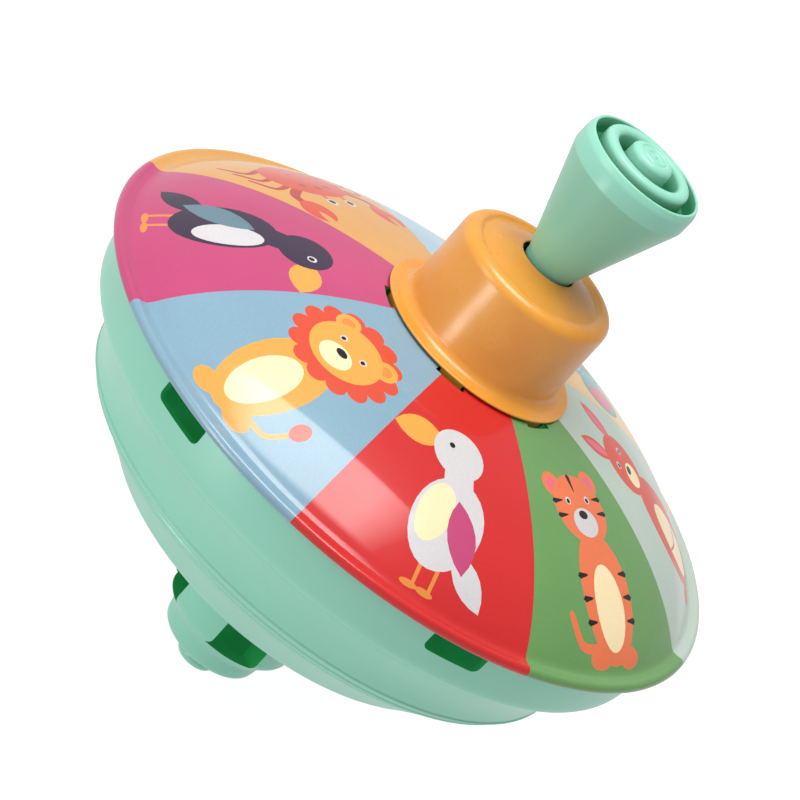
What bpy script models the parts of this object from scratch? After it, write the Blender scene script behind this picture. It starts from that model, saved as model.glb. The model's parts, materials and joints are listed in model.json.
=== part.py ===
"""Pump spinning top: printed tin dome on a moulded plastic body, driven by a twisted rod.

The top stands upright on its foot, with its axis on Z and the foot's flat face at z = 0.
Lengths are written in millimetres and scaled to metres by MM.
"""

from math import cos, radians, sin, sqrt, tau

import bmesh
import bpy
from mathutils import Matrix, Vector

MM = 0.001

# Driving dimensions
RIM_RADIUS = 70.0
RIM_Z = 71.0
GAP = 0.3
FINE = 32
ROUND = 20

# Tin parts
TIN = 0.5
DOME_SEMI_AXIS = 1.05 * RIM_RADIUS
DOME_RISE = 0.5 * RIM_RADIUS
DOME_CENTRE_Z = RIM_Z - 0.213 * RIM_RADIUS
CREASE_RADIUS = 66.1
BEAD_RADIUS = 1.1
DOME_HOLE_RADIUS = 17.6
SLOT_COUNT = 6
SLOT_RADIUS = 21.35
SLOT_DEPTH = 1.7
SLOT_START = radians(-87.5)
TAB_WIDTH = 5.2
TAB_PLAY = 0.9
TAB_FOLD_RADIUS = 18.6
COLLAR_RADIUS = 17.3
COLLAR_FLANGE_RADIUS = 21.2
COLLAR_FLANGE_Z = 90.1
COLLAR_TOP_Z = 109.6
COLLAR_HOLE_RADIUS = 6.4
COLLAR_HOLE_Z = 111.4

# Body shell
WALL = 1.6
VENT_COUNT = 6
VENT_START = radians(-118.1)
VENT_WIDTH = 12.7
VENT_LOW_Z = 63.2
VENT_HIGH_Z = 68.2
VENT_CORNER = 1.4
SHELL_FLOOR_Z = 22.8
CAGE_HOLE_RADIUS = 14.6

# Foot
DRUM_RADIUS = 14.3
DRUM_INNER_RADIUS = 10.0
WINDOW_COUNT = 4
WINDOW_START = radians(-66.0)
WINDOW_ANGLE = radians(43.0)
WINDOW_SKEW = radians(28.0)
WINDOW_LOW_Z = 11.0
WINDOW_HIGH_Z = 20.2
CAGE_FLOOR_Z = 8.0
CAGE_FLANGE_RADIUS = 17.4
CAGE_FLANGE_Z = 26.0
HUB_RADIUS = 3.9
HUB_BORE_RADIUS = 2.5
HUB_TOP_Z = 15.5
PIN_RADIUS = 1.0
PIN_TOP_Z = 13.2
PIN_PLAY = 0.12
PRESS_GAP = 0.1
PAD_RADIUS = 4.6
PAD_HEIGHT = 2.0

# Drive
ROD_WIDTH = 4.6
ROD_THICKNESS = 1.0
ROD_LEAD = 48.0
ROD_STEP = 2.4
ROD_PLAY = 0.8
ROD_LOW_Z = 20.8
ROD_HIGH_Z = 126.0
STOP_RADIUS = 2.8
STOP_LOW_Z = 18.3
STOP_HIGH_Z = ROD_LOW_Z - GAP
TUBE_BORE_RADIUS = 3.2
TUBE_TOP_Z = 75.7
HOUSING_RADIUS = 14.5
HOUSING_FLOOR_Z = 76.0
HOUSING_FLANGE_RADIUS = 19.9
HOUSING_FLANGE = 1.4
CAP_LOW_Z = 89.0
CAP_HIGH_Z = 91.0
FLANGE_HIGH_Z = 88.6
DRIVE_PLATE_Z = 83.5
DRIVE_PLATE_HEIGHT = 1.5
NECK_RADIUS = 5.2
NECK_LOW_Z = 104.5
REED_COUNT = 3
REED_SIZE = (7.0, 1.8, 0.3)
REED_CENTRE = (8.9, 0, 22.35)
REED_SLOT_SIZE = (5.4, 2.2, 4.0)
REED_SLOT_CENTRE = (8.4, 0, 21.3)
SCREW_COUNT = 3
SCREW_CIRCLE = 15.2
SCREW_RADIUS = 0.8
SCREW_HEAD_RADIUS = 1.3
SCREW_LOW_Z = 86.4
TOOTH_COUNT = 12
TOOTH_RISE = 1.0
TOOTH_SLOPE = 0.92

# Knob
KNOB_RADIUS = 13.3
KNOB_BAND_Z = 134.0
KNOB_CREST_Z = 138.8
KNOB_RING_Z = 140.0
KNOB_BOSS_Z = 141.3

MINT = (0.33, 0.68, 0.53)
DARK_GREEN = (0.02, 0.20, 0.09)
OCHRE = (0.78, 0.35, 0.06)
TIN_PAINT = (0.70, 0.15, 0.13)
STEEL = (0.62, 0.62, 0.63)
BRASS = (0.75, 0.56, 0.25)
NATURAL_PLASTIC = (0.80, 0.79, 0.74)


def clear_scene():
    for obj in list(bpy.data.objects):
        bpy.data.objects.remove(obj, do_unlink=True)


def material(name, colour, roughness, metallic=0.0):
    """One Principled material, made once and shared by every piece that asks for it."""
    found = bpy.data.materials.get(name)
    if found:
        return found
    made = bpy.data.materials.new(name)
    made.use_nodes = True
    shader = made.node_tree.nodes["Principled BSDF"]
    shader.inputs["Base Color"].default_value = (*colour, 1.0)
    shader.inputs["Roughness"].default_value = roughness
    shader.inputs["Metallic"].default_value = metallic
    return made


def mint():
    return material("mint_plastic", MINT, 0.35)


def green():
    return material("green_plastic", DARK_GREEN, 0.5)


def natural():
    return material("natural_plastic", NATURAL_PLASTIC, 0.45)


def steel():
    return material("steel", STEEL, 0.3, 1.0)


def brass():
    return material("brass", BRASS, 0.3, 1.0)


def ochre_tin():
    return material("ochre_tin", OCHRE, 0.2)


def printed_tin():
    return material("printed_tin", TIN_PAINT, 0.2)


def add_object(name, bm, surface, parent=None):
    """Finish a bmesh as a smooth-shaded object in metres, under its body's empty."""
    bmesh.ops.recalc_face_normals(bm, faces=bm.faces)
    bmesh.ops.scale(bm, vec=(MM, MM, MM), verts=bm.verts)
    mesh = bpy.data.meshes.new(name)
    bm.to_mesh(mesh)
    bm.free()
    mesh.shade_smooth()
    mesh.set_sharp_from_angle(angle=radians(35))
    if surface:
        mesh.materials.append(surface)
    obj = bpy.data.objects.new(name, mesh)
    bpy.context.scene.collection.objects.link(obj)
    obj.parent = parent
    return obj


def add_empty(name):
    """The parent of one moving body, on the top's axis."""
    empty = bpy.data.objects.new(name, None)
    bpy.context.scene.collection.objects.link(empty)
    return empty


def arc(centre_r, centre_z, radius, start_deg, end_deg, steps):
    """Points along a circular arc of an outline; angles are measured from +R towards +Z."""
    angles = [radians(start_deg + (end_deg - start_deg) * i / steps) for i in range(steps + 1)]
    return [(centre_r + radius * cos(a), centre_z + radius * sin(a)) for a in angles]


def revolve(outline, steps):
    """Spin a closed outline of (r, z) points about Z into a closed bmesh."""
    bm = bmesh.new()
    verts = [bm.verts.new((r, 0.0, z)) for r, z in outline]
    edges = [bm.edges.new((verts[i], verts[(i + 1) % len(verts)])) for i in range(len(verts))]
    on_axis = [e for e in edges if all(abs(v.co.x) < 1e-6 for v in e.verts)]
    for edge in on_axis:
        bm.edges.remove(edge)
        edges.remove(edge)
    bmesh.ops.spin(
        bm, geom=verts + edges, cent=(0, 0, 0), axis=(0, 0, 1), angle=tau, steps=steps, use_merge=True
    )
    bmesh.ops.remove_doubles(bm, verts=bm.verts, dist=1e-4)
    return bm


def turned(name, outline, surface, parent, steps=ROUND):
    return add_object(name, revolve(outline, steps), surface, parent)


def ring(inner, outer, low, high):
    """A plain washer outline."""
    return [(inner, low), (outer, low), (outer, high), (inner, high)]


def box_bmesh(size, centre, turn=0.0):
    """A box of the given size, placed at centre and turned about Z."""
    bm = bmesh.new()
    bmesh.ops.create_cube(bm, size=1.0)
    bmesh.ops.scale(bm, vec=size, verts=bm.verts)
    bmesh.ops.translate(bm, vec=centre, verts=bm.verts)
    bmesh.ops.rotate(bm, cent=(0, 0, 0), matrix=Matrix.Rotation(turn, 3, "Z"), verts=bm.verts)
    return bm


def as_cutter(obj):
    obj.hide_render = True
    obj.display_type = "WIRE"
    return obj


def combine(obj, other, operation):
    """A live boolean of one guide object on a piece."""
    step = obj.modifiers.new(other.name, "BOOLEAN")
    step.operation = operation
    step.solver = "EXACT"
    step.object = other


def polar_angles(count, start):
    return [start + tau * i / count for i in range(count)]


def dome_z(radius):
    """Height of the dome's outer face: an elliptical arc."""
    return DOME_CENTRE_Z + DOME_RISE * sqrt(1.0 - (radius / DOME_SEMI_AXIS) ** 2)


# ---------------------------------------------------------------- tin parts


def dome_outline():
    """Dome, creased brim and rolled bead as one thin sheet."""
    steps = 7
    span = CREASE_RADIUS - DOME_HOLE_RADIUS
    radii = [DOME_HOLE_RADIUS + span * i / steps for i in range(steps + 1)]
    outer = [(r, dome_z(r)) for r in radii]
    bead_r = RIM_RADIUS - BEAD_RADIUS
    bead_z = RIM_Z - BEAD_RADIUS
    outer += arc(bead_r, bead_z, BEAD_RADIUS, 90, -90, 4)
    outer.append((bead_r - 1.6, bead_z - BEAD_RADIUS))
    inner = [(bead_r - 1.6, bead_z - BEAD_RADIUS + TIN)]
    inner += arc(bead_r, bead_z, BEAD_RADIUS - TIN, -90, 90, 4)
    inner += [(r, dome_z(r) - TIN) for r in reversed(radii)]
    return outer + inner


def tin_dome(parent):
    dome = turned("tin_dome", dome_outline(), printed_tin(), parent, FINE)
    for number, angle in enumerate(polar_angles(SLOT_COUNT, SLOT_START), 1):
        size = (SLOT_DEPTH, TAB_WIDTH + TAB_PLAY, 4.0)
        bm = box_bmesh(size, (SLOT_RADIUS, 0, dome_z(SLOT_RADIUS)), angle)
        combine(dome, as_cutter(add_object(f"slot_cutter_{number}", bm, None, parent)), "DIFFERENCE")
    return dome


def collar_outline():
    """Drawn tin cap: flange, rounded root, cylinder, rounded shoulder and raised top."""
    root = 2.0
    shoulder = 2.4
    rim = COLLAR_RADIUS
    low = COLLAR_FLANGE_Z
    root_z = low + TIN + root
    outer = [(COLLAR_FLANGE_RADIUS, low), (COLLAR_FLANGE_RADIUS, low + TIN)]
    outer += arc(rim + root, root_z, root, -90, -180, 3)
    outer += arc(rim - shoulder, COLLAR_TOP_Z - shoulder, shoulder, 0, 90, 3)
    outer += [(rim - 3.2, COLLAR_TOP_Z - 0.3), (COLLAR_HOLE_RADIUS, COLLAR_HOLE_Z)]
    inner = [(COLLAR_HOLE_RADIUS, COLLAR_HOLE_Z - TIN), (rim - 3.2, COLLAR_TOP_Z - 0.3 - TIN)]
    inner += arc(rim - shoulder, COLLAR_TOP_Z - shoulder, shoulder - TIN, 90, 0, 3)
    inner += arc(rim + root, root_z, root + TIN, -180, -90, 3)
    return outer + inner


def tab_bmesh(angle):
    """One collar tab: a leg down through its slot, folded inwards under the housing's flange."""
    low = FLANGE_HIGH_Z - HOUSING_FLANGE - GAP - TIN
    high = COLLAR_FLANGE_Z + 0.35
    out_face = SLOT_RADIUS + 0.1
    side = [(out_face - TIN, high), (out_face, high), (out_face, low), (TAB_FOLD_RADIUS, low)]
    side += [(TAB_FOLD_RADIUS, low + TIN), (out_face - TIN, low + TIN)]
    bm = bmesh.new()
    base = bm.faces.new([bm.verts.new((r, -TAB_WIDTH / 2, z)) for r, z in side])
    other = bmesh.ops.extrude_face_region(bm, geom=[base])
    moved = [v for v in other["geom"] if isinstance(v, bmesh.types.BMVert)]
    bmesh.ops.translate(bm, vec=(0, TAB_WIDTH, 0), verts=moved)
    bmesh.ops.rotate(bm, cent=(0, 0, 0), matrix=Matrix.Rotation(angle, 3, "Z"), verts=bm.verts)
    return bm


def tin_collar(parent):
    collar = turned("tin_collar", collar_outline(), ochre_tin(), parent, FINE)
    for number, angle in enumerate(polar_angles(SLOT_COUNT, SLOT_START), 1):
        guide = as_cutter(add_object(f"tab_{number}", tab_bmesh(angle), None, parent))
        combine(collar, guide, "UNION")
    return collar


# --------------------------------------------------------------- body shell

SHELL_OUTER = [
    (67.3, 70.1),
    (67.3, 69.5),
    (66.2, 69.2),
    (65.6, 61.5),
    (64.9, 58.6),
    (63.6, 56.8),
    (61.2, 53.7),
    (58.4, 50.6),
    (56.6, 47.6),
    (56.0, 45.4),
    (55.2, 43.8),
    (53.4, 42.3),
    (52.2, 41.2),
    (49.2, 38.8),
    (46.0, 36.0),
    (43.2, 33.4),
    (41.0, 31.6),
    (36.4, 29.0),
    (33.4, 27.7),
    (24.0, 24.2),
    (19.6, SHELL_FLOOR_Z),
    (CAGE_HOLE_RADIUS, SHELL_FLOOR_Z),
]


def inward(points, distance):
    """The line of an outline moved to its left by a wall's thickness, point by point."""
    moved = []
    for i, point in enumerate(points):
        before = Vector(points[max(i - 1, 0)])
        after = Vector(points[min(i + 1, len(points) - 1)])
        along = (after - before).normalized()
        moved.append((point[0] + along.y * distance, point[1] - along.x * distance))
    return moved


def body_shell(parent):
    inner = inward(SHELL_OUTER[3:-1], WALL)
    outline = SHELL_OUTER + [(CAGE_HOLE_RADIUS, SHELL_FLOOR_Z + WALL)] + inner[::-1] + [(64.6, 70.1)]
    shell = turned("body_shell", outline, mint(), parent, FINE)
    height = VENT_HIGH_Z - VENT_LOW_Z
    for number, angle in enumerate(polar_angles(VENT_COUNT, VENT_START), 1):
        centre = (65.5, 0, VENT_LOW_Z + height / 2)
        bm = box_bmesh((8.0, VENT_WIDTH, height), centre, angle)
        sides = [e for e in bm.edges if abs(e.verts[0].co.z - e.verts[1].co.z) < 1e-6 and is_radial(e)]
        bmesh.ops.bevel(bm, geom=sides, offset=VENT_CORNER, segments=2, affect="EDGES")
        combine(shell, as_cutter(add_object(f"vent_cutter_{number}", bm, None, parent)), "DIFFERENCE")
    return shell


def is_radial(edge):
    """True for an edge that points away from the axis, seen from above."""
    along = (edge.verts[1].co - edge.verts[0].co).normalized()
    middle = (edge.verts[0].co + edge.verts[1].co) / 2
    outwards = Vector((middle.x, middle.y, 0)).normalized()
    return abs(along.dot(outwards)) > 0.9


# --------------------------------------------------------------------- foot


def foot_pad(parent):
    """Flat pad on a short stem; it stays still on the floor while the top turns on it."""
    outline = [(PIN_RADIUS + 0.1, 0.6), (PIN_RADIUS + 0.1, 5.4), (2.1, 5.4), (2.1, PAD_HEIGHT)]
    outline += [(4.2, PAD_HEIGHT), (PAD_RADIUS, 1.5), (PAD_RADIUS, 0.9), (3.9, 0.0), (0.0, 0.0), (0.0, 0.6)]
    return turned("foot_pad", outline, mint(), parent)


def axle_pin(parent):
    outline = [(0.0, 0.7), (PIN_RADIUS, 0.7), (PIN_RADIUS, PIN_TOP_Z - 0.6)]
    outline += [(0.6, PIN_TOP_Z - 0.1), (0.0, PIN_TOP_Z)]
    return turned("axle_pin", outline, steel(), parent)


def cage_outline():
    """Windowed drum with a hub and a rounded bowl underneath, and a flange inside the shell."""
    seat_z = SHELL_FLOOR_Z + WALL + GAP
    outer = [(CAGE_FLANGE_RADIUS, CAGE_FLANGE_Z), (CAGE_FLANGE_RADIUS, seat_z), (DRUM_RADIUS, seat_z)]
    outer += [(DRUM_RADIUS, 12.4), (13.8, 11.8), (11.7, 9.2), (10.95, 8.0), (10.8, 6.9)]
    outer += [(10.4, 5.6), (9.6, 4.7), (8.0, 3.7), (6.4, 2.6), (5.8, 2.3), (HUB_BORE_RADIUS, 2.3)]
    bore = [(HUB_BORE_RADIUS, PIN_TOP_Z + 1.6), (0.0, PIN_TOP_Z + 1.6)]
    spigot = [(0.0, HUB_TOP_Z + 2.4), (2.9, HUB_TOP_Z + 2.4), (2.9, HUB_TOP_Z), (HUB_RADIUS, HUB_TOP_Z)]
    inner = [(HUB_RADIUS, CAGE_FLOOR_Z), (9.0, CAGE_FLOOR_Z), (DRUM_INNER_RADIUS, 9.0)]
    inner += [(DRUM_INNER_RADIUS, 20.4), (13.0, 20.4), (13.0, CAGE_FLANGE_Z)]
    return outer + bore + spigot + inner


def window_bmesh(azimuth):
    """A block with two parallel sides, which lean round the drum from the window's own azimuth."""
    way = Vector((cos(azimuth + WINDOW_SKEW), sin(azimuth + WINDOW_SKEW)))
    sides = [azimuth - WINDOW_ANGLE / 2, azimuth + WINDOW_ANGLE / 2]
    first, last = (DRUM_RADIUS * Vector((cos(a), sin(a))) for a in sides)
    out, back = 3.0 * way, 8.0 * way
    bm = bmesh.new()
    face = (first + out, last + out, last - back, first - back)
    base = bm.faces.new([bm.verts.new((p.x, p.y, WINDOW_LOW_Z)) for p in face])
    top = bmesh.ops.extrude_face_region(bm, geom=[base])
    moved = [v for v in top["geom"] if isinstance(v, bmesh.types.BMVert)]
    bmesh.ops.translate(bm, vec=(0, 0, WINDOW_HIGH_Z - WINDOW_LOW_Z), verts=moved)
    return bm


def foot_cage(parent):
    cage = turned("foot_cage", cage_outline(), mint(), parent, 24)
    for number, angle in enumerate(polar_angles(WINDOW_COUNT, WINDOW_START), 1):
        guide = as_cutter(add_object(f"window_cutter_{number}", window_bmesh(angle), None, parent))
        combine(cage, guide, "DIFFERENCE")
    return cage


def bearing_parts(foot, top):
    """The pin turns in a bush in the hub; a clip on the pin keeps the foot from dropping out."""
    turned("pin_bush", ring(PIN_RADIUS + PIN_PLAY, HUB_BORE_RADIUS - PRESS_GAP, 6.0, 10.0), brass(), top)
    turned("pin_clip", ring(PIN_RADIUS + PIN_PLAY / 2, 2.2, 10.3, 10.9), steel(), foot)
    cap_z = PIN_TOP_Z + GAP
    turned("thrust_cap", ring(0.0, HUB_BORE_RADIUS - PRESS_GAP, cap_z, cap_z + 1.0), steel(), top)


def snap_ring(parent):
    """Ring that holds the cage's flange down on the shell's floor."""
    return turned("cage_snap_ring", ring(15.0, 18.6, CAGE_FLANGE_Z + GAP, 28.0), natural(), parent, 24)


# ------------------------------------------------------------ air and sound


def reed_plate(parent):
    """Disc over the drum with one slot for each reed."""
    plate = turned("reed_plate", ring(HUB_RADIUS + GAP, 12.7, 20.7, 21.9), natural(), parent, 24)
    for number, angle in enumerate(polar_angles(REED_COUNT, 0.0), 1):
        bm = box_bmesh(REED_SLOT_SIZE, REED_SLOT_CENTRE, angle)
        combine(plate, as_cutter(add_object(f"reed_cutter_{number}", bm, None, parent)), "DIFFERENCE")
    return plate


def reeds(parent):
    for number, angle in enumerate(polar_angles(REED_COUNT, 0.0), 1):
        add_object(f"reed_{number}", box_bmesh(REED_SIZE, REED_CENTRE, angle), brass(), parent)


# -------------------------------------------------------------------- drive


def guide_tube(parent):
    outline = ring(TUBE_BORE_RADIUS, HUB_RADIUS, HUB_TOP_Z + GAP, TUBE_TOP_Z)
    return turned("guide_tube", outline, green(), parent)


def housing_outline():
    """Cup under the dome's crown, with a socket for the guide tube below it."""
    edge = HOUSING_FLANGE_RADIUS
    flange_low = FLANGE_HIGH_Z - HOUSING_FLANGE
    cup = [(edge, FLANGE_HIGH_Z), (edge, flange_low), (HOUSING_RADIUS, flange_low)]
    cup += [(HOUSING_RADIUS, HOUSING_FLOOR_Z), (6.0, HOUSING_FLOOR_Z), (6.0, 70.0), (4.2, 70.0)]
    cup += [(4.2, HOUSING_FLOOR_Z + 1.6), (13.0, HOUSING_FLOOR_Z + 1.6)]
    cup += [(13.0, FLANGE_HIGH_Z)]
    return cup


def tooth_ring(name, inner, outer, low, high, up, surface, parent):
    """A ring with saw teeth on one face: each tooth climbs one way and drops straight."""
    bm = bmesh.new()
    rows = []
    for i in range(TOOTH_COUNT):
        for lift, at in ((0.0, i), (TOOTH_RISE, i + TOOTH_SLOPE)):
            angle = tau * at / TOOTH_COUNT
            edge = (high + lift, low) if up else (high, low - lift)
            corners = [(r * cos(angle), r * sin(angle), z) for r in (inner, outer) for z in edge]
            rows.append([bm.verts.new(corner) for corner in corners])
    for i, row in enumerate(rows):
        after = rows[(i + 1) % len(rows)]
        for a, b in ((0, 1), (1, 3), (3, 2), (2, 0)):
            bm.faces.new((row[a], row[b], after[b], after[a]))
    return add_object(name, bm, surface, parent)


def drive_parts(top, driver):
    turned("drive_housing", housing_outline(), green(), top, 24)
    tooth_ring("clutch_ring", 7.6, 12.7, 77.9, 79.4, True, natural(), top)
    drive_nut(driver)
    drive_plate(driver)
    turned("nut_washer", ring(6.4, 12.2, 87.0, 87.5), steel(), driver)


def drive_nut(parent):
    """Ratchet wheel around the drive plate; its teeth face the clutch ring's."""
    nut = tooth_ring("drive_nut", 5.2, 12.2, 82.2, 86.7, False, natural(), parent)
    pocket = revolve(ring(0.0, 8.1, DRIVE_PLATE_Z - GAP, 88.0), ROUND)
    combine(nut, as_cutter(add_object("plate_pocket", pocket, None, parent)), "DIFFERENCE")
    return nut


def rod_angle(z):
    """Turn of the rod's strip at height z."""
    return tau * z / ROD_LEAD


def drive_plate(parent):
    """Steel disc whose slot follows the twisted rod."""
    high = DRIVE_PLATE_Z + DRIVE_PLATE_HEIGHT
    plate = turned("drive_plate", ring(0.0, 7.8, DRIVE_PLATE_Z, high), steel(), parent)
    middle = (DRIVE_PLATE_Z + high) / 2
    size = (ROD_WIDTH + ROD_PLAY, ROD_THICKNESS + ROD_PLAY, 6.0)
    slot = box_bmesh(size, (0, 0, middle), rod_angle(middle))
    combine(plate, as_cutter(add_object("rod_slot_cutter", slot, None, parent)), "DIFFERENCE")
    return plate


def housing_cap(parent):
    """Lid of the drive housing, standing up inside the collar."""
    outline = [(6.0, 87.8), (12.6, 87.8), (12.6, CAP_LOW_Z), (16.3, CAP_LOW_Z)]
    outline += [(16.3, CAP_HIGH_Z), (6.0, CAP_HIGH_Z)]
    cap = turned("housing_cap", outline, green(), parent, 24)
    housing = bpy.data.objects["drive_housing"]
    for number, angle in enumerate(polar_angles(SCREW_COUNT, radians(30)), 1):
        hole = pillar_bmesh(ring(0.0, SCREW_RADIUS + 0.25, 86.0, 93.0), angle)
        cutter = as_cutter(add_object(f"screw_hole_{number}", hole, None, parent))
        combine(cap, cutter, "DIFFERENCE")
        combine(housing, cutter, "DIFFERENCE")
        head_z = CAP_HIGH_Z + GAP
        screw = [(0.0, SCREW_LOW_Z), (SCREW_RADIUS, SCREW_LOW_Z), (SCREW_RADIUS, head_z)]
        screw += [(SCREW_HEAD_RADIUS, head_z), (SCREW_HEAD_RADIUS, head_z + 0.5)]
        screw += [(SCREW_RADIUS, head_z + 0.9), (0.0, head_z + 0.9)]
        add_object(f"housing_screw_{number}", pillar_bmesh(screw, angle), steel(), parent)
    return cap


def pillar_bmesh(outline, angle, steps=10):
    """A small turned shape standing on the screw circle."""
    bm = revolve(outline, steps)
    bmesh.ops.translate(bm, vec=(SCREW_CIRCLE * cos(angle), SCREW_CIRCLE * sin(angle), 0), verts=bm.verts)
    return bm


def neck_guide(parent):
    """Tube on the housing cap that guides the knob's neck and stops it at the bottom of its stroke."""
    stop_z = NECK_LOW_Z - GAP
    outline = [(3.1, 91.3), (12.5, 91.3), (12.5, 92.6), (7.8, 92.6), (7.8, 110.0), (5.6, 110.5)]
    outline += [(5.6, stop_z), (3.1, stop_z)]
    return turned("neck_guide", outline, green(), parent, 24)


# ------------------------------------------------------------------ plunger


def knob_outline():
    """Hollow-necked cone with a rim band, two ring grooves and a centre boss."""
    cone = [(3.3, NECK_LOW_Z), (NECK_RADIUS, NECK_LOW_Z), (NECK_RADIUS, 111.1), (13.1, KNOB_BAND_Z - 0.9)]
    band = [(KNOB_RADIUS, KNOB_BAND_Z), (KNOB_RADIUS, 136.6), (12.9, 138.0), (12.2, KNOB_CREST_Z)]
    groove = [(11.6, 138.4), (11.4, 134.8), (9.7, 134.8)]
    middle = [(9.5, 139.3), (9.0, KNOB_RING_Z), (7.3, KNOB_RING_Z), (6.9, 139.3)]
    inner_groove = [(6.8, 136.2), (4.7, 136.2)]
    boss = [(4.5, 140.6), (3.9, KNOB_BOSS_Z), (0.0, KNOB_BOSS_Z)]
    bore = [(0.0, ROD_HIGH_Z + 0.6), (3.3, ROD_HIGH_Z + 0.6)]
    return cone + band + groove + middle + inner_groove + boss + bore


def rod_bmesh():
    """Flat strip twisted about Z at a constant lead."""
    steps = round((ROD_HIGH_Z - ROD_LOW_Z) / ROD_STEP)
    corners = [(1, 1), (-1, 1), (-1, -1), (1, -1)]
    bm = bmesh.new()
    rows = []
    for i in range(steps + 1):
        z = ROD_LOW_Z + (ROD_HIGH_Z - ROD_LOW_Z) * i / steps
        turn = Matrix.Rotation(rod_angle(z), 3, "Z")
        flat = [Vector((sx * ROD_WIDTH / 2, sy * ROD_THICKNESS / 2, z)) for sx, sy in corners]
        rows.append([bm.verts.new(turn @ point) for point in flat])
    bm.faces.new(rows[0])
    bm.faces.new(rows[-1])
    for low, high in zip(rows, rows[1:]):
        for i in range(4):
            bm.faces.new((low[i], low[(i + 1) % 4], high[(i + 1) % 4], high[i]))
    bmesh.ops.triangulate(bm, faces=bm.faces)
    return bm


def plunger_parts(parent):
    turned("knob", knob_outline(), mint(), parent, 28)
    add_object("twisted_rod", rod_bmesh(), steel(), parent)
    turned("rod_ferrule", ring(2.5, 3.1, 106.0, ROD_HIGH_Z), brass(), parent)
    bevel = 0.5
    stop = [(0.0, STOP_LOW_Z), (STOP_RADIUS - bevel, STOP_LOW_Z), (STOP_RADIUS, STOP_LOW_Z + bevel)]
    stop += [(STOP_RADIUS, STOP_HIGH_Z), (0.0, STOP_HIGH_Z)]
    turned("end_stop", stop, steel(), parent)


def build():
    clear_scene()
    foot = add_empty("foot_body")
    top = add_empty("top_body")
    driver = add_empty("driver_body")
    plunger = add_empty("plunger_body")
    foot_pad(foot)
    axle_pin(foot)
    foot_cage(top)
    bearing_parts(foot, top)
    snap_ring(top)
    reed_plate(top)
    reeds(top)
    guide_tube(top)
    body_shell(top)
    tin_dome(top)
    tin_collar(top)
    drive_parts(top, driver)
    housing_cap(top)
    neck_guide(top)
    plunger_parts(plunger)


build()
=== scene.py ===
"""Looks of the pump spinning top: printed tin dome, ochre tin collar, moulded mint body, foot and knob.

The modelling functions work in millimetres, with the top's axis on Z. MM scales them to the frame's
metres.
"""

import json
from math import atan2, ceil, cos, hypot, pi, radians, sin, tan, tau

import bmesh
import bpy
import numpy as np
from mathutils import Matrix, Vector
from mathutils.geometry import delaunay_2d_cdt


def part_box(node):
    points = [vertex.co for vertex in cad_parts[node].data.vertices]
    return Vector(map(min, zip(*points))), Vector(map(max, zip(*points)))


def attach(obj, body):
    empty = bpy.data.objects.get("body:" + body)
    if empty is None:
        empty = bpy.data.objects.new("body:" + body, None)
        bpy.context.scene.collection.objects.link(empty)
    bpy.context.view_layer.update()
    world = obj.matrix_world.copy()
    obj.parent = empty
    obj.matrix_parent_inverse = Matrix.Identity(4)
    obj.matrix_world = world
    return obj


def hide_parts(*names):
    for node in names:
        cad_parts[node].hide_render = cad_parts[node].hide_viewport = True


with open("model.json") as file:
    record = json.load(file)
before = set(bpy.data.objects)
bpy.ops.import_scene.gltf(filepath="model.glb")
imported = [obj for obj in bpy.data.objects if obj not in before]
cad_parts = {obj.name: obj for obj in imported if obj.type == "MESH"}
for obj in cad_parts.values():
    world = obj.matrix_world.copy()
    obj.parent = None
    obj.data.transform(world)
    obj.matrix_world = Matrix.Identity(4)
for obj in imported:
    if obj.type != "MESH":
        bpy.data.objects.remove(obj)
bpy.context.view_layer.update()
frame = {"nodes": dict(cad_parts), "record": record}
MM = 0.001


def span(node):
    """Lowest and highest corner of a CAD node, in millimetres."""
    low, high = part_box(node)
    return low / MM, high / MM


# ------------------------------------------------------------------ sizes

RIM_RADIUS = span("tin_dome")[1].x
COLLAR_FLANGE_RADIUS = span("tin_collar")[1].x
COLLAR_HOLE_Z = span("tin_collar")[1].z
KNOB_TOP_Z = span("knob")[1].z
KNOB_LOW_Z = span("knob")[0].z
KNOB_RADIUS = span("knob")[1].x
KNOB_BAND_Z = 134.0
KNOB_LEAN = radians(2.2)
KNOB_LEAN_Z = 104.0
KNOB_SET_BACK = 0.35
PAD_HIGH_Z = span("foot_pad")[1].z
PAD_RADIUS = span("foot_pad")[1].x

SEGMENTS = 192
TIN = 0.5
WALL = 1.6

# Tin dome: an elliptical arc, a creased brim and a rolled bead
RIM_Z = 71.0
DOME_SEMI_AXIS = 1.05 * RIM_RADIUS
DOME_RISE = 0.5 * RIM_RADIUS
DOME_CENTRE_Z = RIM_Z - 0.213 * RIM_RADIUS
DOME_HOLE_RADIUS = 17.6
DOME_SAMPLES = 1500
CREASE_RADIUS = 66.1
BEAD_RADIUS = 1.1
BEAD_CENTRE = (RIM_RADIUS - BEAD_RADIUS, RIM_Z - BEAD_RADIUS)
PRINT_START_RADIUS = 23.2
SLOT_LOW_RADIUS = 19.6
SLOT_HIGH_RADIUS = 21.9
CROWN_RADII = (DOME_HOLE_RADIUS, 18.8, SLOT_LOW_RADIUS, 21.0, SLOT_HIGH_RADIUS, PRINT_START_RADIUS)
SLOT_COUNT = 6
SLOT_START = radians(-87.5)
TAB_WIDTH = 5.2
TAB_LOW_Z = 86.4
TAB_HIGH_Z = 90.57
TAB_FOLD_RADIUS = 18.6

# Printed sectors
SECTORS = 8
SECTOR_START = radians(-2.7)
SECTOR_ANGLE = tau / SECTORS
SECTOR_STEPS = 48

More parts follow.
